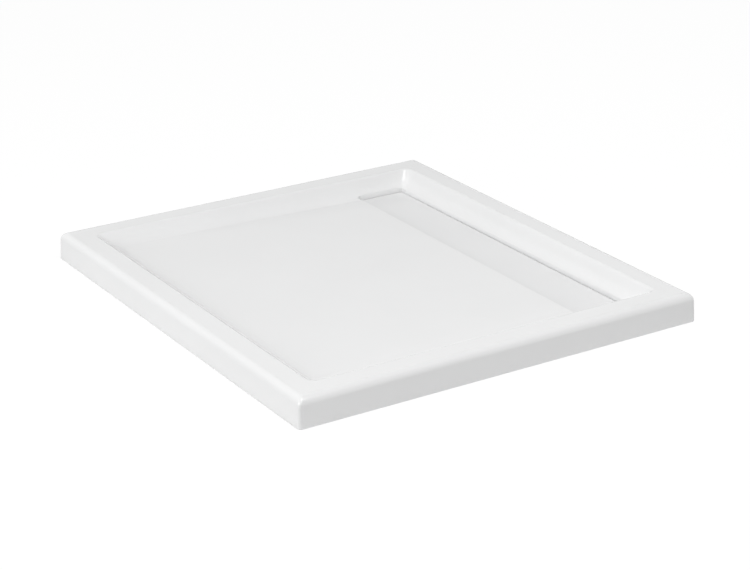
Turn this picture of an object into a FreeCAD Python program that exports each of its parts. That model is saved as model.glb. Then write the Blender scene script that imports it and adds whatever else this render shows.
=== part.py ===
import FreeCAD, Part
import math
import os
import Sketcher

# A low rectangular shower tray: a thermoformed acrylic shell with a broad raised rim,
# a floor that falls towards a covered drain channel along its right side, and the
# reinforcement, battens and waste fitting hidden beneath. +Z is up, the origin is the
# middle of the footprint on the ground, Y runs along the long side and the channel.

doc = FreeCAD.newDocument("ShowerTray")
sheet = doc.addObject("Spreadsheet::Sheet", "Sizes")

SIZES = [
    # the outside
    ("tray_length", 1000.0),
    ("tray_width", 900.0),
    ("tray_height", 58.0),
    ("skirt_draft", 3.1),
    ("outer_corner_radius", 8.0),
    ("outer_edge_radius", 16.0),
    ("acrylic_thickness", 4.0),
    ("backing_thickness", 2.5),
    # the basin
    ("rim_width", 58.0),
    ("rim_inner_radius", 9.0),
    ("inner_corner_radius", 14.0),
    ("wall_slope", 56.0),
    ("cove_radius", 48.0),
    ("cove_depth", 32.0),
    ("floor_slope", 1.3),
    # the drain channel and its cover
    ("channel_margin", 93.0),
    ("channel_length", 824.0),
    ("flange_side_room", 4.0),
    ("channel_corner_radius", 4.0),
    ("channel_foot_radius", 3.0),
    ("cover_step", 6.0),
    ("cover_gap", 3.0),
    ("cover_corner_radius", 10.0),
    ("cover_skin", 3.0),
    ("cover_lip", 3.0),
    ("cover_edge_radius", 1.5),
    ("cover_core_thickness", 2.0),
    ("cover_rest_gap", 0.2),
    ("pad_diameter", 16.0),
    ("pad_inset", 20.0),
    ("pad_waste_gap", 46.0),
    ("pad_end_margin", 29.0),
    # the waste fitting
    ("flange_diameter", 108.0),
    ("flange_overlap", 9.0),
    ("flange_thickness", 2.0),
    ("screw_band", 13.0),
    ("seal_thickness", 1.0),
    ("clamp_ring_thickness", 2.5),
    ("ground_gap", 0.5),
    ("screw_diameter", 4.0),
    ("screw_head_diameter", 8.0),
    ("screw_socket", 2.5),
    ("screw_socket_depth", 1.3),
    ("screw_clearance", 0.05),
    ("boss_diameter", 10.0),
    ("boss_gap", 0.5),
    ("strainer_clearance", 0.3),
    ("strainer_rest_gap", 0.1),
    ("strainer_lip", 1.0),
    ("strainer_lip_width", 3.0),
    ("strainer_depth", 6.0),
    ("strainer_wall", 1.5),
    ("strainer_hole", 4.0),
    ("strainer_hole_inset", 10.0),
    ("strainer_bar_width", 5.0),
    ("strainer_bar_height", 2.0),
    ("cover_clearance", 1.0),
    # the reinforcement below the floor and under the rim
    ("backing_clearance", 3.0),
    ("board_thickness", 9.0),
    ("board_margin", 10.0),
    ("batten_width", 45.0),
    ("batten_inset", 20.0),
    ("rim_batten_width", 22.0),
    ("rim_batten_height", 16.0),
    ("rim_batten_offset", 42.0),
    ("rim_batten_end", 22.0),
]

BATTEN_COUNT = 4
PAD_ROWS = 3
SCREW_COUNT = 4
OUTER_STRAINER_HOLES = 12
INNER_STRAINER_HOLES = 6
BASIN_OVERRUN = 6.0
CUT_OVERRUN = 1.0
LEVEL_TOLERANCE = 0.01

for row, (alias, value) in enumerate(SIZES, start=1):
    sheet.set("A%d" % row, alias)
    sheet.set("B%d" % row, str(value))
    sheet.setAlias("B%d" % row, alias)
doc.recompute()


def size(alias):
    """The expression that reads one cell of the sheet."""
    return "Sizes." + alias


def total(*parts):
    """The sum of several expressions."""
    return "(" + " + ".join(parts) + ")"


def less(whole, *parts):
    """The first expression less each of the others."""
    return "(" + " - ".join((whole,) + parts) + ")"


def value_of(expression):
    """The present value of an expression, as a plain number."""
    result = sheet.evalExpression(expression)
    return float(getattr(result, "Value", result))


# Heights, built up from the ground through the waste fitting and the drain channel.
RING_TOP = total(size("ground_gap"), size("clamp_ring_thickness"))
SHELL_UNDERSIDE = total(RING_TOP, size("seal_thickness"))
CHANNEL_FLOOR = total(SHELL_UNDERSIDE, size("acrylic_thickness"))
FLANGE_UNDERSIDE = total(CHANNEL_FLOOR, size("seal_thickness"))
FLANGE_TOP = total(FLANGE_UNDERSIDE, size("flange_thickness"))
STRAINER_SEAT = total(FLANGE_TOP, size("strainer_rest_gap"))
STRAINER_TOP = total(STRAINER_SEAT, size("strainer_lip"))
COVER_UNDERSIDE = total(STRAINER_TOP, size("cover_clearance"))
CORE_TOP = total(COVER_UNDERSIDE, size("cover_core_thickness"))
COVER_TOP = total(CORE_TOP, size("cover_skin"))
FLOOR_EDGE = total(COVER_TOP, size("cover_step"))

# The waste fitting, from the flange inwards: the hole in the tray, the ring of screws
# and the bore that the strainer sits in.
HOLE_DIAMETER = "(Sizes.flange_diameter - 2 * Sizes.flange_overlap)"
SCREW_CIRCLE = less(HOLE_DIAMETER, size("screw_band"))
BORE_DIAMETER = less(SCREW_CIRCLE, size("screw_band"))

# Places along X: the channel lies near the right side and takes in the flange.
CHANNEL_WIDTH = "(Sizes.flange_diameter + 2 * Sizes.flange_side_room)"
CHANNEL_RIGHT = "(Sizes.tray_width / 2 - Sizes.channel_margin)"
CHANNEL_LEFT = less(CHANNEL_RIGHT, CHANNEL_WIDTH)
CHANNEL_MIDDLE = less(CHANNEL_RIGHT, CHANNEL_WIDTH + " / 2")

# The floor is one plane that falls to the channel's left edge.
FALL_ANGLE = size("floor_slope")
FLOOR_FALL = "tan(Sizes.floor_slope)"
FLOOR_AT_MIDDLE = total(FLOOR_EDGE, FLOOR_FALL + " * " + CHANNEL_LEFT)
DEPTH_AT_MIDDLE = less(size("tray_height"), FLOOR_AT_MIDDLE)

# The wall runs down straight from the rim, then curves out into the floor. Its sections lie
# at these shares of the straight run and of the curve's turn.
UPPER_SHARE = 0.3
COVE_SHARES = (1.0, 0.8, 0.6, 0.4, 0.2, 0.07, 0.0)
# The roll along the top of the skirt has its sections at these shares of its turn.
ROLL_SHARES = (0.0, 0.2, 0.4, 0.6, 0.8, 0.93, 1.0)
ARC_HEIGHT = "(Sizes.cove_radius * (1 - cos(Sizes.wall_slope)))"
WALL_RUN = (
    "(Sizes.cove_radius * sin(Sizes.wall_slope)"
    " + (Sizes.cove_depth - %s) / tan(Sizes.wall_slope))" % ARC_HEIGHT
)
WALL_AND_BACKING = total(size("acrylic_thickness"), size("backing_thickness"))


def flat_plane(body, role):
    """One of a body's own origin planes, found by its role."""
    for feature in body.Origin.OriginFeatures:
        if feature.Role == role:
            return feature
    raise ValueError(role)


def new_body(name):
    body = doc.addObject("PartDesign::Body", name)
    body.Label = name
    return body


def level_sketch(body, name, height, tilt=None, middle_x=None):
    """An empty sketch over the ground plane, at a height, turned down towards +X by tilt."""
    sketch = body.newObject("Sketcher::SketchObject", name)
    sketch.AttachmentSupport = (flat_plane(body, "XY_Plane"), [""])
    sketch.MapMode = "FlatFace"
    slant = FreeCAD.Rotation(FreeCAD.Vector(0, 1, 0), value_of(tilt) if tilt else 0.0)
    sketch.AttachmentOffset = FreeCAD.Placement(FreeCAD.Vector(), slant)
    sketch.setExpression("AttachmentOffset.Base.z", height)
    if tilt:
        sketch.setExpression("AttachmentOffset.Rotation.Angle", tilt)
    if middle_x:
        sketch.setExpression("AttachmentOffset.Base.x", middle_x)
    return sketch


def rounded_rectangle(sketch, width, length, radius):
    """A rectangle about the sketch's origin with four round corners, sized by expressions."""
    half_x = value_of(width) / 2
    half_y = value_of(length) / 2
    corner = value_of(radius)
    inner_x = half_x - corner
    inner_y = half_y - corner
    point = FreeCAD.Vector
    up = point(0, 0, 1)
    corners = [(inner_x, -inner_y), (inner_x, inner_y), (-inner_x, inner_y), (-inner_x, -inner_y)]
    sides = [
        (point(-inner_x, -half_y), point(inner_x, -half_y)),
        (point(half_x, -inner_y), point(half_x, inner_y)),
        (point(inner_x, half_y), point(-inner_x, half_y)),
        (point(-half_x, inner_y), point(-half_x, -inner_y)),
    ]
    for index in range(4):
        start, end = sides[index]
        sketch.addGeometry(Part.LineSegment(start, end), False)
        middle = point(corners[index][0], corners[index][1])
        first = (index - 1) * math.pi / 2
        circle = Part.Circle(middle, up, corner)
        sketch.addGeometry(Part.ArcOfCircle(circle, first, first + math.pi / 2), False)
    constraint = Sketcher.Constraint
    for index in range(4):
        line = 2 * index
        arc = line + 1
        following = (line + 2) % 8
        sketch.addConstraint(constraint("Tangent", line, 2, arc, 1))
        sketch.addConstraint(constraint("Tangent", arc, 2, following, 1))
        direction = "Horizontal" if index % 2 == 0 else "Vertical"
        sketch.addConstraint(constraint(direction, line))
    for arc in (3, 5, 7):
        sketch.addConstraint(constraint("Equal", 1, arc))
    sketch.addConstraint(constraint("Symmetric", 0, 1, 4, 1, -1, 1))
    across = sketch.addConstraint(constraint("DistanceX", 6, 1, 2, 1, 2 * half_x))
    along = sketch.addConstraint(constraint("DistanceY", 0, 1, 4, 1, 2 * half_y))
    bend = sketch.addConstraint(constraint("Radius", 1, corner))
    for index, name, expression in (
        (across, "across", width),
        (along, "along", length),
        (bend, "bend", radius),
    ):
        sketch.renameConstraint(index, name)
        sketch.setExpression("Constraints." + name, expression)


def pad(body, sketch, name, length, taper=None):
    feature = body.newObject("PartDesign::Pad", name)
    feature.Profile = sketch
    feature.setExpression("Length", length)
    if taper:
        feature.setExpression("TaperAngle", taper)
    return feature


def round_edges(body, name, radius, wanted):
    """Rounds every edge of the body so far for which wanted(bounding box) holds."""
    doc.recompute()
    base = body.Tip
    names = []
    for number, edge in enumerate(base.Shape.Edges, start=1):
        if wanted(edge.BoundBox):
            names.append("Edge%d" % number)
    feature = body.newObject("PartDesign::Fillet", name)
    feature.Base = (base, names)
    feature.setExpression("Radius", radius)
    return feature


def level_with(height):
    """True for edges that lie flat at one height."""

    def lies_there(box):
        return abs(box.ZMin - height) < LEVEL_TOLERANCE and abs(box.ZMax - height) < LEVEL_TOLERANCE

    return lies_there


def cut(name, base, tool):
    feature = doc.addObject("Part::Cut", name)
    feature.Label = name
    feature.Base = base
    feature.Tool = tool
    return feature


def join(name, pieces):
    feature = doc.addObject("Part::MultiFuse", name)
    feature.Label = name
    feature.Shapes = pieces
    return feature


def group(name, pieces):
    feature = doc.addObject("Part::Compound", name)
    feature.Label = name
    feature.Links = pieces
    return feature


def cylinder(name, radius, low, height, x_place=CHANNEL_MIDDLE, y_place=None):
    feature = doc.addObject("Part::Cylinder", name)
    feature.Label = name
    feature.setExpression("Radius", radius)
    feature.setExpression("Height", height)
    feature.setExpression("Placement.Base.x", x_place)
    feature.setExpression("Placement.Base.z", low)
    if y_place:
        feature.setExpression("Placement.Base.y", y_place)
    return feature


def block(name, low_x, low_y, low_z, size_x, size_y, size_z, tilt=None):
    feature = doc.addObject("Part::Box", name)
    feature.Label = name
    if tilt:
        slant = FreeCAD.Rotation(FreeCAD.Vector(0, 1, 0), value_of(tilt))
        feature.Placement = FreeCAD.Placement(FreeCAD.Vector(), slant)
        feature.setExpression("Placement.Rotation.Angle", tilt)
    feature.setExpression("Length", size_x)
    feature.setExpression("Width", size_y)
    feature.setExpression("Height", size_z)
    feature.setExpression("Placement.Base.x", low_x)
    feature.setExpression("Placement.Base.y", low_y)
    feature.setExpression("Placement.Base.z", low_z)
    return feature


def outer_block(name, inset, corner):
    """The tray's outside without its basin, all faces drawn in by inset: the drafted skirt
    is a pad and the roll at its top a loft through quarter-circle sections."""
    body = new_body(name)
    outline = level_sketch(body, name + "_outline", "0")
    width = "(Sizes.tray_width - 2 * %s)" % inset
    length = "(Sizes.tray_length - 2 * %s)" % inset
    rounded_rectangle(outline, width, length, corner)
    roll = less(size("outer_edge_radius"), inset)
    middle = less(size("tray_height"), size("outer_edge_radius"))
    start = "(%s + %s * sin(Sizes.skirt_draft))" % (middle, roll)
    lean = "(%s * tan(Sizes.skirt_draft))" % start
    pad(body, outline, name + "_pad", start, "-Sizes.skirt_draft")
    sections = []
    for number, share in enumerate(ROLL_SHARES):
        turn = "(Sizes.skirt_draft + %s * (90 - Sizes.skirt_draft))" % share
        drawn_in = "(%s + %s * (cos(Sizes.skirt_draft) - cos(%s)))" % (lean, roll, turn)
        height = "(%s + %s * sin(%s))" % (middle, roll, turn)
        section = level_sketch(body, "%s_roll_%d" % (name, number), height)
        rounded_rectangle(
            section,
            "(%s - 2 * %s)" % (width, drawn_in),
            "(%s - 2 * %s)" % (length, drawn_in),
            less(corner, lean),
        )
        sections.append(section)
    doc.recompute()
    loft = body.newObject("PartDesign::AdditiveLoft", name + "_roll")
    loft.Profile = sections[0]
    loft.Sections = sections[1:]
    loft.Ruled = False
    return body


def basin_block(name, grow):
    """The space that the basin takes out of the block, all faces moved out by grow."""
    body = new_body(name)
    straight_drop = "(Sizes.cove_depth - %s)" % ARC_HEIGHT
    stations = [(str(-BASIN_OVERRUN), "1"), ("(%s * %s)" % (UPPER_SHARE, straight_drop), "1")]
    for share in COVE_SHARES:
        turn = "(Sizes.wall_slope * %s)" % share
        drop = "(Sizes.cove_depth - Sizes.cove_radius * (1 - cos(%s)))" % turn
        stations.append((drop, str(share)))
    sections = []
    for number, (drop, share) in enumerate(stations):
        turn = "(Sizes.wall_slope * %s)" % share
        if number < 2:
            run = "(%s / tan(Sizes.wall_slope))" % drop
        else:
            run = "(%s - Sizes.cove_radius * sin(%s))" % (WALL_RUN, turn)
        part_of_depth = "(%s / Sizes.cove_depth)" % drop
        tilt = "atan(%s * %s)" % (FLOOR_FALL, part_of_depth) if number else None
        outward = "(%s * sin(%s))" % (grow, turn)
        downward = "(%s * cos(%s))" % (grow, turn)
        if number:
            height = "(Sizes.tray_height - %s * %s - %s)" % (part_of_depth, DEPTH_AT_MIDDLE, downward)
        else:
            height = "(Sizes.tray_height + %s)" % BASIN_OVERRUN
        side = "2 * (Sizes.rim_width + %s - %s)" % (run, outward)
        width = "(Sizes.tray_width - %s)" % side
        if tilt:
            width = "(%s / cos(%s))" % (width, tilt)
        outline = level_sketch(body, "%s_section_%d" % (name, number), height, tilt)
        rounded_rectangle(
            outline,
            width,
            "(Sizes.tray_length - %s)" % side,
            "(Sizes.inner_corner_radius + %s)" % outward,
        )
        sections.append(outline)
    doc.recompute()
    loft = body.newObject("PartDesign::AdditiveLoft", name + "_loft")
    loft.Profile = sections[0]
    loft.Sections = sections[1:]
    loft.Ruled = False
    return body


def channel_block(name, grow):
    """The space of the drain channel, from its floor up past the cove, moved out by grow."""
    body = new_body(name)
    low = less(CHANNEL_FLOOR, grow)
    outline = level_sketch(body, name + "_outline", low, middle_x=CHANNEL_MIDDLE)
    rounded_rectangle(
        outline,
        "(%s + 2 * %s)" % (CHANNEL_WIDTH, grow),
        "(Sizes.channel_length + 2 * %s)" % grow,
        total(size("channel_corner_radius"), grow),
    )
    high = "(Sizes.tray_height - Sizes.outer_edge_radius)"
    pad(body, outline, name + "_pad", less(high, low))
    radius = total(size("channel_foot_radius"), grow)
    round_edges(body, name + "_foot", radius, level_with(value_of(low)))
    return body


def hollow_block(name, wall):
    """The space under the tray that a lining of the given total thickness leaves open."""
    corner = less(size("outer_corner_radius"), size("acrylic_thickness"))
    inside = outer_block(name + "_inside", wall, corner)
    basin = basin_block(name + "_basin", wall)
    channel = channel_block(name + "_channel", wall)
    return cut(name, cut(name + "_rough", inside, basin), channel)


def tray_shell(hollow):
    """The acrylic shell: skirt, rim, basin and drain channel in one formed sheet."""
    outside = outer_block("shell_outside", "0", size("outer_corner_radius"))
    basin = basin_block("shell_basin", "0")
    channel = channel_block("shell_channel", "0")
    dished = cut("shell_dished", outside, basin)
    doc.recompute()
    rounded = new_body("shell_rounded")
    rounded.BaseFeature = dished
    rim = value_of(size("tray_height"))
    inner_x = value_of("Sizes.tray_width / 2 - Sizes.rim_width") + LEVEL_TOLERANCE
    inner_y = value_of("Sizes.tray_length / 2 - Sizes.rim_width") + LEVEL_TOLERANCE
    flat = level_with(rim)

    def on_inner_rim(box):
        inside_x = max(abs(box.XMin), abs(box.XMax)) < inner_x
        inside_y = max(abs(box.YMin), abs(box.YMax)) < inner_y
        return flat(box) and inside_x and inside_y

    round_edges(rounded, "shell_rim_edge", size("rim_inner_radius"), on_inner_rim)
    trough = cut("shell_trough", rounded, channel)
    hole = cylinder("waste_hole", HOLE_DIAMETER + " / 2", "0", size("tray_height"))
    pierced = cut("shell_pierced", trough, hole)
    return cut("tray_shell", pierced, hollow)


def shell_backing(hollow):
    """Glass-fibre laminate bonded over the whole underside, open round the waste fitting."""
    inner_hollow = hollow_block("backing_hollow", WALL_AND_BACKING)
    lining = cut("backing_lining", hollow, inner_hollow)
    opening_radius = "(Sizes.flange_diameter / 2 + Sizes.backing_clearance)"
    opening = cylinder("backing_opening", opening_radius, "0", CHANNEL_FLOOR)
    return cut("shell_backing", lining, opening)


# The floor board's top lies on the laminate, so it follows the fall of the floor.
BOARD_LEFT = "(Sizes.rim_width + %s + Sizes.board_margin - Sizes.tray_width / 2)" % WALL_RUN
BOARD_RIGHT = less(CHANNEL_LEFT, WALL_AND_BACKING, size("board_margin"))
BOARD_SPAN = less(BOARD_RIGHT, BOARD_LEFT)
BOARD_LENGTH = "(Sizes.tray_length - 2 * (Sizes.rim_width + %s + Sizes.board_margin))" % WALL_RUN
BOARD_TOP_LEFT = less(FLOOR_AT_MIDDLE, FLOOR_FALL + " * " + BOARD_LEFT, WALL_AND_BACKING)


def slanted_slab(name, thickness):
    """A slab whose top lies on the laminate's underside over the board's width."""
    return block(
        name,
        "(%s - %s * sin(%s))" % (BOARD_LEFT, thickness, FALL_ANGLE),
        "(-%s / 2)" % BOARD_LENGTH,
        "(%s - %s * cos(%s))" % (BOARD_TOP_LEFT, thickness, FALL_ANGLE),
        "(%s / cos(%s))" % (BOARD_SPAN, FALL_ANGLE),
        BOARD_LENGTH,
        thickness,
        FALL_ANGLE,
    )


def support_battens():
    """Battens from the board's underside down to the ground, each cut to the board's slant."""
    pitch = "(%s / %d)" % (BOARD_SPAN, BATTEN_COUNT)
    battens = []
    for number in range(BATTEN_COUNT):
        middle = "(%s + %s * %s)" % (BOARD_LEFT, pitch, number + 0.5)
        name = "support_batten_%d" % (number + 1)
        blank = block(
            name + "_blank",
            "(%s - Sizes.batten_width / 2)" % middle,
            "(Sizes.batten_inset - %s / 2)" % BOARD_LENGTH,
            "0",
            size("batten_width"),
            "(%s - 2 * Sizes.batten_inset)" % BOARD_LENGTH,
            FLOOR_AT_MIDDLE,
        )
        slab = slanted_slab(name + "_trim", size("board_thickness"))
        over = block(
            name + "_over",
            "0", "(-%s / 2)" % BOARD_LENGTH, "0",
            "(%s / cos(%s))" % (BOARD_SPAN, FALL_ANGLE), BOARD_LENGTH, size("tray_height"),
            FALL_ANGLE,
        )
        over.setExpression("Placement.Base.x", "%s.Placement.Base.x" % slab.Name)
        over.setExpression("Placement.Base.z", "%s.Placement.Base.z" % slab.Name)
        battens.append(cut(name, blank, over))
    return battens


def rim_battens():
    """Four battens bonded under the rim, the two long ones running past the short ones."""
    underside = less(size("tray_height"), WALL_AND_BACKING)
    low = less(underside, size("rim_batten_height"))
    far = "(Sizes.rim_batten_offset - Sizes.rim_batten_width)"
    reach_x = "(Sizes.tray_width / 2 - %s)" % far
    reach_y = "(Sizes.tray_length / 2 - %s)" % far
    inner_x = less(reach_x, size("rim_batten_width"))
    inner_y = less(reach_y, size("rim_batten_width"))
    wide = size("rim_batten_width")
    high = size("rim_batten_height")
    long_run = "(Sizes.tray_length - 2 * Sizes.rim_batten_end)"
    return [
        block("rim_batten_front", "-" + inner_x, "-" + reach_y, low, "2 * " + inner_x, wide, high),
        block("rim_batten_back", "-" + inner_x, inner_y, low, "2 * " + inner_x, wide, high),
        block("rim_batten_left", "-" + reach_x, "-%s / 2" % long_run, low, wide, long_run, high),
        block("rim_batten_right", inner_x, "-%s / 2" % long_run, low, wide, long_run, high),
    ]


COVER_WIDTH = less(CHANNEL_WIDTH, "2 * Sizes.cover_gap")
COVER_LENGTH = "(Sizes.channel_length - 2 * Sizes.cover_gap)"


def channel_cover():
    """The lift-out acrylic cover plate, dished beneath for its stiffening core."""
    body = new_body("channel_cover")
    outline = level_sketch(body, "cover_outline", COVER_UNDERSIDE, middle_x=CHANNEL_MIDDLE)
    rounded_rectangle(outline, COVER_WIDTH, COVER_LENGTH, size("cover_corner_radius"))
    pad(body, outline, "cover_pad", less(COVER_TOP, COVER_UNDERSIDE))
    doc.recompute()
    full = body.Shape.Volume
    inside = level_sketch(body, "cover_inside", COVER_UNDERSIDE, middle_x=CHANNEL_MIDDLE)
    core_outline(inside)
    recess = body.newObject("PartDesign::Pocket", "cover_recess")
    recess.Profile = inside
    recess.setExpression("Length", size("cover_core_thickness"))
    recess.Reversed = True
    doc.recompute()
    if not body.Shape.Volume < full:
        raise ValueError("the cover's recess cuts nothing")
    top = value_of(COVER_TOP)
    round_edges(body, "cover_edge", size("cover_edge_radius"), level_with(top))
    return body


def core_outline(sketch):
    rounded_rectangle(
        sketch,
        less(COVER_WIDTH, "2 * Sizes.cover_lip"),
        less(COVER_LENGTH, "2 * Sizes.cover_lip"),
        less(size("cover_corner_radius"), size("cover_lip")),
    )


def cover_core():
    """The stiff sheet bonded into the cover's underside."""
    body = new_body("cover_core")
    outline = level_sketch(body, "core_outline", COVER_UNDERSIDE, middle_x=CHANNEL_MIDDLE)
    core_outline(outline)
    pad(body, outline, "core_pad", size("cover_core_thickness"))
    return body


def cover_pads():
    """Rubber pads under the cover, in two columns, clear of the waste fitting."""
    low = total(CHANNEL_FLOOR, size("cover_rest_gap"))
    aside = "(%s / 2 - Sizes.pad_inset)" % COVER_WIDTH
    first = "(Sizes.flange_diameter / 2 + Sizes.pad_waste_gap)"
    last = "(%s / 2 - Sizes.pad_end_margin)" % COVER_LENGTH
    pitch = "(%s / %d)" % (less(last, first), PAD_ROWS - 1)
    pads = []
    for across in ("-", "+"):
        for row_number in range(PAD_ROWS):
            for end in ("-", ""):
                place = "%s(%s + %d * %s)" % (end, first, row_number, pitch)
                pads.append(
                    cylinder(
                        "cover_pad_%d" % (len(pads) + 1),
                        "Sizes.pad_diameter / 2",
                        low,
                        less(COVER_UNDERSIDE, low),
                        "(%s %s %s)" % (CHANNEL_MIDDLE, across, aside),
                        place,
                    )
                )
    return group("cover_pads", pads)


def flat_ring(name, outer_diameter, inner_diameter, low, thickness):
    disc = cylinder(name + "_disc", outer_diameter + " / 2", low, thickness)
    bore = cylinder(name + "_bore", inner_diameter + " / 2", low, thickness)
    return cut(name, disc, bore)


def screw_place(number):
    """X and Y expressions of one flange screw."""
    turn = 360.0 * (number + 0.5) / SCREW_COUNT
    x_place = "(%s + %s / 2 * cos(%s))" % (CHANNEL_MIDDLE, SCREW_CIRCLE, turn)
    return x_place, "(%s / 2 * sin(%s))" % (SCREW_CIRCLE, turn)


def countersunk_form(name, number, clearance):
    """A countersunk screw's form, clearance larger all round, with its head flush above."""
    x_place, y_place = screw_place(number)
    shank_radius = "(Sizes.screw_diameter / 2 + %s)" % clearance
    shank = cylinder(
        name + "_shank", shank_radius, size("ground_gap"),
        less(FLANGE_TOP, size("ground_gap")), x_place, y_place,
    )
    head = doc.addObject("Part::Cone", name + "_head")
    head.Label = name + "_head"
    head_radius = "(Sizes.screw_head_diameter / 2 + %s)" % clearance
    head_height = less(head_radius, shank_radius)
    head.setExpression("Radius1", shank_radius)
    head.setExpression("Radius2", head_radius)
    head.setExpression("Height", head_height)
    head.setExpression("Placement.Base.x", x_place)
    head.setExpression("Placement.Base.y", y_place)
    head.setExpression("Placement.Base.z", less(FLANGE_TOP, head_height))
    return join(name + "_form", [shank, head])


def flange_screws():
    """Countersunk screws with hexagon sockets, from the flange into the ring's bosses."""
    screws = []
    for number in range(SCREW_COUNT):
        name = "flange_screw_%d" % (number + 1)
        form = countersunk_form(name, number, "0")
        x_place, y_place = screw_place(number)
        socket = doc.addObject("Part::Prism", name + "_socket")
        socket.Label = name + "_socket"
        socket.Polygon = 6
        socket.setExpression("Circumradius", "Sizes.screw_socket / 2 / cos(30)")
        socket.setExpression("Height", size("screw_socket_depth"))
        socket.setExpression("Placement.Base.x", x_place)
        socket.setExpression("Placement.Base.y", y_place)
        socket.setExpression("Placement.Base.z", less(FLANGE_TOP, size("screw_socket_depth")))
        screws.append(cut(name, form, socket))
    return group("flange_screws", screws)


def screw_holes(name):
    """Clearance for every flange screw, as one tool."""
    forms = []
    for number in range(SCREW_COUNT):
        forms.append(countersunk_form("%s_%d" % (name, number + 1), number, size("screw_clearance")))
    return join(name, forms)


def waste_flange(holes):
    """The pressed steel flange in the channel, which clamps the tray to the ring below."""
    blank = flat_ring(
        "flange_blank", size("flange_diameter"), BORE_DIAMETER,
        FLANGE_UNDERSIDE, size("flange_thickness"),
    )
    return cut("waste_flange", blank, holes)


def clamp_ring(holes):
    """The ring below the tray, with a boss for each screw standing up in the waste hole."""
    disc = cylinder(
        "ring_disc", "Sizes.flange_diameter / 2",
        size("ground_gap"), size("clamp_ring_thickness"),
    )
    pieces = [disc]
    for number in range(SCREW_COUNT):
        x_place, y_place = screw_place(number)
        pieces.append(
            cylinder(
                "ring_boss_%d" % (number + 1),
                "Sizes.boss_diameter / 2",
                size("ground_gap"),
                less(FLANGE_UNDERSIDE, size("boss_gap"), size("ground_gap")),
                x_place,
                y_place,
            )
        )
    solid = join("ring_solid", pieces)
    bore = cylinder("ring_bore", BORE_DIAMETER + " / 2", "0", FLANGE_TOP)
    return cut("clamp_ring", cut("ring_open", solid, bore), holes)


def hair_strainer():
    """The lift-out strainer: a lipped cup with a pierced bottom and a bar to pull it by."""
    cup_radius = "(%s / 2 - Sizes.strainer_clearance)" % BORE_DIAMETER
    cup_bottom = less(STRAINER_SEAT, size("strainer_depth"))
    lip = cylinder(
        "strainer_lip_disc", "(%s / 2 + Sizes.strainer_lip_width)" % BORE_DIAMETER,
        STRAINER_SEAT, size("strainer_lip"),
    )
    cup = cylinder(
        "strainer_cup", cup_radius, cup_bottom,
        total(size("strainer_depth"), size("strainer_lip")),
    )
    outside = join("strainer_outside", [lip, cup])
    inside = cylinder(
        "strainer_inside", "(%s - Sizes.strainer_wall)" % cup_radius,
        total(cup_bottom, size("strainer_wall")), size("tray_height"),
    )
    hollow = cut("strainer_hollow", outside, inside)
    holes = []
    outer_circle = "(%s - 2 * Sizes.strainer_hole_inset)" % BORE_DIAMETER
    inner_circle = "(%s - 2 * Sizes.strainer_hole_inset)" % outer_circle
    for count, circle in ((OUTER_STRAINER_HOLES, outer_circle), (INNER_STRAINER_HOLES, inner_circle)):
        for number in range(count):
            turn = 360.0 * (number + 0.5) / count
            holes.append(
                cylinder(
                    "strainer_hole_%d" % (len(holes) + 1),
                    "Sizes.strainer_hole / 2",
                    "(%s - %s)" % (cup_bottom, CUT_OVERRUN),
                    "(Sizes.strainer_wall + 2 * %s)" % CUT_OVERRUN,
                    "(%s + %s / 2 * cos(%s))" % (CHANNEL_MIDDLE, circle, turn),
                    "(%s / 2 * sin(%s))" % (circle, turn),
                )
            )
    pierced = cut("strainer_pierced", hollow, join("strainer_holes", holes))
    bar = block(
        "strainer_bar",
        "(%s - %s + Sizes.strainer_wall / 2)" % (CHANNEL_MIDDLE, cup_radius),
        "(-Sizes.strainer_bar_width / 2)",
        less(STRAINER_TOP, size("strainer_bar_height")),
        "(2 * %s - Sizes.strainer_wall)" % cup_radius,
        size("strainer_bar_width"),
        size("strainer_bar_height"),
    )
    return join("hair_strainer", [pierced, bar])


hollow = hollow_block("shell_hollow", size("acrylic_thickness"))
sub_parts = [tray_shell(hollow), shell_backing(hollow)]
sub_parts.append(slanted_slab("floor_board", size("board_thickness")))
sub_parts.extend(support_battens())
sub_parts.extend(rim_battens())
sub_parts.extend([channel_cover(), cover_core(), cover_pads()])
for seal, low in (("upper_seal", CHANNEL_FLOOR), ("lower_seal", RING_TOP)):
    sub_parts.append(flat_ring(seal, size("flange_diameter"), HOLE_DIAMETER, low, size("seal_thickness")))
sub_parts.append(waste_flange(screw_holes("flange_holes")))
sub_parts.append(clamp_ring(screw_holes("ring_holes")))
sub_parts.append(flange_screws())
sub_parts.append(hair_strainer())
doc.recompute()

for item in doc.Objects:
    if "Invalid" in item.State or "Error" in item.State:
        raise ValueError("%s: %s" % (item.Label, item.State))
for item in sub_parts:
    if item.Shape.isNull() or not item.Shape.isValid():
        raise ValueError(item.Label + " has no valid shape")

os.makedirs("parts", exist_ok=True)
for item in sub_parts:
    item.Shape.exportStep("parts/%s.step" % item.Label)
    box = item.Shape.BoundBox
    print(
        "%-18s %3d solids %12.1f mm3  x %7.1f %7.1f  y %7.1f %7.1f  z %6.2f %6.2f"
        % (item.Label, len(item.Shape.Solids), item.Shape.Volume,
           box.XMin, box.XMax, box.YMin, box.YMax, box.ZMin, box.ZMax)
    )
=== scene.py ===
from math import radians

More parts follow.
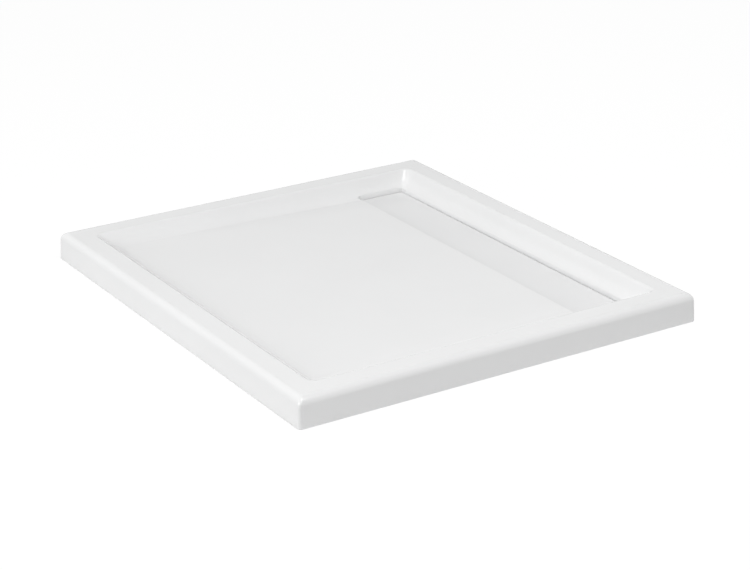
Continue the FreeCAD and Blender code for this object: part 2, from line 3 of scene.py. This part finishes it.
import bmesh
import bpy
from mathutils import Euler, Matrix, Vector


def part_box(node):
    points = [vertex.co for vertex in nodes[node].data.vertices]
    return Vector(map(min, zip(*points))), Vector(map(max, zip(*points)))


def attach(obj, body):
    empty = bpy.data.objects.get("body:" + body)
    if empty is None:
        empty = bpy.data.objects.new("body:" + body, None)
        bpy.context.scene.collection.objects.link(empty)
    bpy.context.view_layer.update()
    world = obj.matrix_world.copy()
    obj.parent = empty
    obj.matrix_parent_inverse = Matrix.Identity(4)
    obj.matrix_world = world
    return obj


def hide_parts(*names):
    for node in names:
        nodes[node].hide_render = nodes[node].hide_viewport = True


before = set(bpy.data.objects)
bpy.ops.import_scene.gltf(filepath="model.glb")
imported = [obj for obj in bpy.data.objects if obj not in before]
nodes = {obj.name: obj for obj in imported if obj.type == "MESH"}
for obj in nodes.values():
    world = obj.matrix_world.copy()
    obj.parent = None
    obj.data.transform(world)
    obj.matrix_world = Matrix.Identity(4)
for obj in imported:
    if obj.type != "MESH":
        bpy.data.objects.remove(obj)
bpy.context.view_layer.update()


# ---- The shell -------------------------------------------------------------------------
# One sheet of glossy white acrylic, drawn down hot over a mould: skirt, broad rim, walls,
# falling floor and drain channel in one piece, with every edge a soft curve.
SHELL_CREASE = 30.0
PIECE_CREASE = 35.0
MERGE_DISTANCE = 1e-6
ACRYLIC_IOR = 1.49
SHELL_FAINT, SHELL_FULL = (0.865, 0.867, 0.868), (0.875, 0.877, 0.878)
NOISE_LOW, NOISE_HIGH = 0.35, 0.65


def weigh_normals(piece):
    """Flat faces keep their own normals, so that only the curves between them shade."""
    modifier = piece.modifiers.new("Weighted normals", "WEIGHTED_NORMAL")
    modifier.weight = 100
    modifier.keep_sharp = True


def finish_piece(bm, name, body, node, material, crease=PIECE_CREASE):
    """Turns a bmesh into a piece that rides on its body and stands for its CAD node."""
    mesh = bpy.data.meshes.new(name)
    bm.to_mesh(mesh)
    bm.free()
    mesh.shade_smooth()
    mesh.set_sharp_from_angle(angle=radians(crease))
    mesh.materials.clear()
    mesh.materials.append(material)
    piece = bpy.data.objects.new(name, mesh)
    bpy.context.scene.collection.objects.link(piece)
    weigh_normals(piece)
    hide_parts(node)
    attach(piece, body)


def smoothed_cad(node, body, material, crease=PIECE_CREASE):
    """A CAD node's form, merged so that its turned faces shade as curves."""
    bm = bmesh.new()
    bm.from_mesh(nodes[node].data)
    bmesh.ops.remove_doubles(bm, verts=bm.verts[:], dist=MERGE_DISTANCE)
    finish_piece(bm, node + "_form", body, node, material, crease)


def new_finish(name, roughness, metallic=0.0):
    """A material with its shader, ready for the procedural parts."""
    material = bpy.data.materials.new(name)
    material.use_nodes = True
    shader = material.node_tree.nodes["Principled BSDF"]
    shader.inputs["Roughness"].default_value = roughness
    shader.inputs["Metallic"].default_value = metallic
    return material, material.node_tree, shader


def surface_noise(tree, scale, detail=3.0, stretch=(1.0, 1.0, 1.0)):
    """Noise over the piece's own coordinates; stretch above 1 packs it closer on that axis."""
    place = tree.nodes.new("ShaderNodeTexCoord")
    mapping = tree.nodes.new("ShaderNodeMapping")
    mapping.inputs["Scale"].default_value = stretch
    noise = tree.nodes.new("ShaderNodeTexNoise")
    noise.inputs["Scale"].default_value = scale
    noise.inputs["Detail"].default_value = detail
    tree.links.new(place.outputs["Object"], mapping.inputs["Vector"])
    tree.links.new(mapping.outputs["Vector"], noise.inputs["Vector"])
    return noise.outputs["Fac"]


def tint(tree, shader, factor, stops):
    """Colours the surface by a factor, through (place, (r, g, b)) stops."""
    ramp = tree.nodes.new("ShaderNodeValToRGB")
    ramp.color_ramp.elements[0].position = stops[0][0]
    ramp.color_ramp.elements[1].position = stops[-1][0]
    for place, _ in stops[1:-1]:
        ramp.color_ramp.elements.new(place)
    for element, (_, colour) in zip(ramp.color_ramp.elements, stops):
        element.color = (*colour, 1.0)
    tree.links.new(factor, ramp.inputs["Fac"])
    tree.links.new(ramp.outputs["Color"], shader.inputs["Base Color"])


def two_tones(dark, light):
    """Stops from dark to light over the span in which nearly all of a noise lies."""
    return [(NOISE_LOW, dark), (NOISE_HIGH, light)]


def uneven_polish(tree, shader, factor, low, high):
    """Lets a factor move the roughness between low and high."""
    mapped = tree.nodes.new("ShaderNodeMapRange")
    mapped.inputs["To Min"].default_value = low
    mapped.inputs["To Max"].default_value = high
    tree.links.new(factor, mapped.inputs["Value"])
    tree.links.new(mapped.outputs["Result"], shader.inputs["Roughness"])


def relief(tree, shader, factor, distance, strength):
    """Lets a factor raise the surface by up to distance."""
    bump = tree.nodes.new("ShaderNodeBump")
    bump.inputs["Strength"].default_value = strength
    bump.inputs["Distance"].default_value = distance
    tree.links.new(factor, bump.inputs["Height"])
    tree.links.new(bump.outputs["Normal"], shader.inputs["Normal"])


def white_acrylic(name, faint, full):
    """Glossy sanitary acrylic: an even white, a barely uneven polish and a long slow ripple."""
    material, tree, shader = new_finish(name, roughness=0.1)
    shader.inputs["IOR"].default_value = ACRYLIC_IOR
    cloud = surface_noise(tree, scale=6.0, detail=4.0)
    tint(tree, shader, cloud, two_tones(faint, full))
    patches = surface_noise(tree, scale=35.0, detail=2.0)
    uneven_polish(tree, shader, patches, low=0.08, high=0.13)
    ripple = surface_noise(tree, scale=14.0, detail=1.0)
    relief(tree, shader, ripple, distance=0.0001, strength=0.35)
    return material


shell_acrylic = white_acrylic("shell_acrylic", SHELL_FAINT, SHELL_FULL)
smoothed_cad("tray_shell", "tray", shell_acrylic, SHELL_CREASE)


# ---- The reinforcement -----------------------------------------------------------------
# Under the shell: chopped glass fibre in polyester resin over the whole underside, a particle
# board bonded below the floor, and timber battens below the board and under the rim.
LAMINATE_COLOURS = [(0.4, (0.60, 0.58, 0.47)), (0.62, (0.80, 0.79, 0.70)), (0.8, (0.90, 0.90, 0.84))]
CHIP_COLOURS = [(0.35, (0.36, 0.26, 0.15)), (0.5, (0.52, 0.41, 0.26)), (0.65, (0.66, 0.55, 0.38))]
TIMBER_COLOURS = [(0.35, (0.45, 0.31, 0.17)), (0.5, (0.62, 0.46, 0.28)), (0.7, (0.72, 0.57, 0.38))]
GRAIN_ALONG_Y, GRAIN_ALONG_X = (3.0, 0.12, 3.0), (0.12, 3.0, 3.0)
FLOOR_BATTENS = 4


def plain_cad(node, material):
    """A CAD node keeps its own form and gets its finish."""
    piece = nodes[node]
    piece.data.materials.clear()
    piece.data.materials.append(material)


laminate, tree, shader = new_finish("glass_laminate", roughness=0.45)
strands = surface_noise(tree, scale=130.0, detail=5.0, stretch=(1.0, 0.25, 1.0))
cross_strands = surface_noise(tree, scale=130.0, detail=5.0, stretch=(0.25, 1.0, 1.0))
upper_strand = tree.nodes.new("ShaderNodeMath")
upper_strand.operation = "MAXIMUM"
tree.links.new(strands, upper_strand.inputs[0])
tree.links.new(cross_strands, upper_strand.inputs[1])
chopped = upper_strand.outputs["Value"]
tint(tree, shader, chopped, LAMINATE_COLOURS)
relief(tree, shader, chopped, distance=0.0008, strength=0.6)
plain_cad("shell_backing", laminate)

board, tree, shader = new_finish("particle_board", roughness=0.55)
chips = surface_noise(tree, scale=160.0, detail=6.0)
tint(tree, shader, chips, CHIP_COLOURS)
relief(tree, shader, chips, distance=0.0004, strength=0.5)
plain_cad("floor_board", board)


def sawn_timber(name, stretch):
    """Pale softwood, its grain drawn out along one axis."""
    material, tree, shader = new_finish(name, roughness=0.5)
    grain = surface_noise(tree, scale=60.0, detail=6.0, stretch=stretch)
    tint(tree, shader, grain, TIMBER_COLOURS)
    relief(tree, shader, grain, distance=0.0003, strength=0.5)
    return material


timber_along = sawn_timber("timber_along", GRAIN_ALONG_Y)
timber_across = sawn_timber("timber_across", GRAIN_ALONG_X)
for number in range(1, FLOOR_BATTENS + 1):
    plain_cad("support_batten_%d" % number, timber_along)
for side in ("left", "right"):
    plain_cad("rim_batten_" + side, timber_along)
for side in ("front", "back"):
    plain_cad("rim_batten_" + side, timber_across)


# ---- The waste fitting -----------------------------------------------------------------
# A stainless flange in the channel is screwed through the tray's hole to a ring below it,
# with a rubber seal on each side of the sheet; a pierced strainer cup lifts out of its bore.
POLISH_LEAST, POLISH_MOST = 0.7, 1.3


def steel(name, dull, bright, roughness, scratch):
    """Stainless steel with fine scratches."""
    material, tree, shader = new_finish(name, roughness, metallic=1.0)
    lines = surface_noise(tree, scale=220.0, detail=4.0, stretch=(1.0, 0.08, 1.0))
    tint(tree, shader, lines, two_tones(dull, bright))
    uneven_polish(tree, shader, lines, roughness * POLISH_LEAST, roughness * POLISH_MOST)
    relief(tree, shader, lines, distance=0.00005, strength=scratch)
    return material


brushed = steel("brushed_steel", (0.56, 0.56, 0.56), (0.66, 0.66, 0.66), roughness=0.32, scratch=0.5)
bright = steel("bright_steel", (0.62, 0.62, 0.63), (0.70, 0.70, 0.71), roughness=0.18, scratch=0.2)
polished = steel("polished_steel", (0.70, 0.70, 0.71), (0.78, 0.78, 0.79), roughness=0.10, scratch=0.1)


def soft_rubber(name, dark, light):
    """Matt rubber with a fine grain."""
    material, tree, shader = new_finish(name, roughness=0.7)
    grain = surface_noise(tree, scale=400.0, detail=3.0)
    tint(tree, shader, grain, two_tones(dark, light))
    relief(tree, shader, grain, distance=0.0001, strength=0.5)
    return material


seal_rubber = soft_rubber("seal_rubber", (0.025, 0.025, 0.026), (0.045, 0.045, 0.046))
smoothed_cad("lower_seal", "tray", seal_rubber)
smoothed_cad("upper_seal", "tray", seal_rubber)
smoothed_cad("clamp_ring", "tray", brushed)
smoothed_cad("waste_flange", "tray", brushed)
smoothed_cad("flange_screws", "tray", bright)
smoothed_cad("hair_strainer", "strainer", polished)


# ---- The channel's cover ---------------------------------------------------------------
# A plate of the same acrylic with softened edges, its white painted a little darker than the shell's
# as painted shade, stiffened by an aluminium sheet bonded into its underside; it stands on small
# rubber pads in the channel and lifts out by hand.
COVER_CORNER = 0.010
COVER_CORNER_STEPS = 8
COVER_EDGE = 0.0015
COVER_EDGE_STEPS = 4
COVER_LIP = 0.003
SAME_LEVEL = 1e-6
# The cover's two tones are the shell's white made a little darker: painted shade on the cover.
COVER_PAINTED_SHADE_FAINT, COVER_PAINTED_SHADE_FULL = (0.815, 0.817, 0.82), (0.825, 0.827, 0.83)

cover_acrylic = white_acrylic("cover_acrylic", COVER_PAINTED_SHADE_FAINT, COVER_PAINTED_SHADE_FULL)
cover_low, cover_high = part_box("channel_cover")
core_low, core_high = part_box("cover_core")

bm = bmesh.new()
bmesh.ops.create_cube(bm, size=1.0)
bmesh.ops.scale(bm, vec=cover_high - cover_low, verts=bm.verts[:])
bmesh.ops.translate(bm, vec=(cover_high + cover_low) / 2, verts=bm.verts[:])
uprights = [edge for edge in bm.edges if abs(edge.verts[0].co.z - edge.verts[1].co.z) > SAME_LEVEL]
bmesh.ops.bevel(
    bm, geom=uprights, affect="EDGES", offset=COVER_CORNER, segments=COVER_CORNER_STEPS,
    profile=0.5, material=-1,
)
upper = [
    edge for edge in bm.edges if all(abs(vert.co.z - cover_high.z) < SAME_LEVEL for vert in edge.verts)
]
bmesh.ops.bevel(
    bm, geom=upper, affect="EDGES", offset=COVER_EDGE, segments=COVER_EDGE_STEPS,
    profile=0.5, material=-1,
)
underside = min(bm.faces, key=lambda face: face.calc_center_median().z)
bmesh.ops.inset_region(bm, faces=[underside], thickness=COVER_LIP, depth=0.0)
bmesh.ops.translate(bm, vec=(0, 0, core_high.z - core_low.z), verts=list(underside.verts))
bmesh.ops.recalc_face_normals(bm, faces=bm.faces[:])
finish_piece(bm, "cover", "cover", "channel_cover", cover_acrylic)

core_sheet, tree, shader = new_finish("core_sheet", roughness=0.35, metallic=1.0)
rolled = surface_noise(tree, scale=180.0, detail=4.0, stretch=(1.0, 0.03, 1.0))
tint(tree, shader, rolled, two_tones((0.62, 0.63, 0.64), (0.74, 0.75, 0.76)))
relief(tree, shader, rolled, distance=0.00005, strength=0.4)
plain_cad("cover_core", core_sheet)

pad_rubber = soft_rubber("pad_rubber", (0.03, 0.03, 0.03), (0.05, 0.05, 0.05))
smoothed_cad("cover_pads", "cover", pad_rubber)


# ---- The studio ------------------------------------------------------------------------
# A pale seamless floor that keeps the tray's shadow faintly, soft light from the left and
# from above the front, and a long lens that looks down on the tray's near corner.
FLOOR_REACH = 12.0
FLOOR_PAINT = 0.85
FLOOR_GLOW = 1.04
FLOOR_GLOW_SHARE = 0.9
SKY_LIGHT, SKY_SEEN = 0.25, 1.0
LAMP_WIDTH = 2.5
TRAY_MIDDLE = Vector((0.0, 0.0, 0.0))
LENS, SENSOR = 102.775, 36.0
FARTHEST_SEEN = 50.0
CAMERA_PLACE = (-2.13608, -3.43093, 1.63773)
CAMERA_TURN = (1.187177, 0.006511, -0.564426)

floor_mesh = bpy.data.meshes.new("studio_floor")
bm = bmesh.new()
bmesh.ops.create_grid(bm, x_segments=1, y_segments=1, size=FLOOR_REACH)
bm.to_mesh(floor_mesh)
bm.free()
studio_floor = bpy.data.objects.new("studio_floor", floor_mesh)
bpy.context.scene.collection.objects.link(studio_floor)

floor_paint = bpy.data.materials.new("studio_floor")
floor_paint.use_nodes = True
tree = floor_paint.node_tree
tree.nodes.clear()
matt = tree.nodes.new("ShaderNodeBsdfDiffuse")
matt.inputs["Color"].default_value = (FLOOR_PAINT, FLOOR_PAINT, FLOOR_PAINT, 1.0)
glow = tree.nodes.new("ShaderNodeEmission")
glow.inputs["Color"].default_value = (1.0, 1.0, 1.0, 1.0)
glow.inputs["Strength"].default_value = FLOOR_GLOW
seen = tree.nodes.new("ShaderNodeLightPath")
share = tree.nodes.new("ShaderNodeMath")
share.operation = "MULTIPLY"
share.inputs[1].default_value = FLOOR_GLOW_SHARE
mixed = tree.nodes.new("ShaderNodeMixShader")
output = tree.nodes.new("ShaderNodeOutputMaterial")
tree.links.new(seen.outputs["Is Camera Ray"], share.inputs[0])
tree.links.new(share.outputs["Value"], mixed.inputs["Fac"])
tree.links.new(matt.outputs["BSDF"], mixed.inputs[1])
tree.links.new(glow.outputs["Emission"], mixed.inputs[2])
tree.links.new(mixed.outputs["Shader"], output.inputs["Surface"])
floor_mesh.materials.append(floor_paint)

world = bpy.data.worlds.new("studio")
bpy.context.scene.world = world
world.use_nodes = True
tree = world.node_tree
tree.nodes.clear()
sky = tree.nodes.new("ShaderNodeBackground")
sky.inputs["Color"].default_value = (1.0, 1.0, 1.0, 1.0)
seen = tree.nodes.new("ShaderNodeLightPath")
strength = tree.nodes.new("ShaderNodeMapRange")
strength.inputs["To Min"].default_value = SKY_LIGHT
strength.inputs["To Max"].default_value = SKY_SEEN
backdrop = tree.nodes.new("ShaderNodeMath")
backdrop.operation = "MAXIMUM"
output = tree.nodes.new("ShaderNodeOutputWorld")
tree.links.new(seen.outputs["Is Camera Ray"], backdrop.inputs[0])
tree.links.new(seen.outputs["Is Glossy Ray"], backdrop.inputs[1])
tree.links.new(backdrop.outputs["Value"], strength.inputs["Value"])
tree.links.new(strength.outputs["Result"], sky.inputs["Strength"])
tree.links.new(sky.outputs["Background"], output.inputs["Surface"])


def soft_lamp(name, place, power):
    """A square soft box that looks at the middle of the tray."""
    data = bpy.data.lights.new(name, "AREA")
    data.shape = "SQUARE"
    data.size = LAMP_WIDTH
    data.energy = power
    lamp = bpy.data.objects.new(name, data)
    lamp.location = place
    lamp.rotation_euler = (TRAY_MIDDLE - Vector(place)).to_track_quat("-Z", "Y").to_euler()
    bpy.context.scene.collection.objects.link(lamp)


soft_lamp("key", place=(-3.8, 0.4, 1.6), power=72.0)
soft_lamp("overhead", place=(0.2, -1.6, 3.9), power=105.0)

camera_data = bpy.data.cameras.new("camera")
camera_data.lens = LENS
camera_data.sensor_width = SENSOR
camera_data.clip_end = FARTHEST_SEEN
camera = bpy.data.objects.new("camera", camera_data)
camera.location = CAMERA_PLACE
camera.rotation_euler = Euler(CAMERA_TURN, "XYZ")
bpy.context.scene.collection.objects.link(camera)
bpy.context.scene.camera = camera
bpy.context.scene.view_settings.view_transform = "Standard"
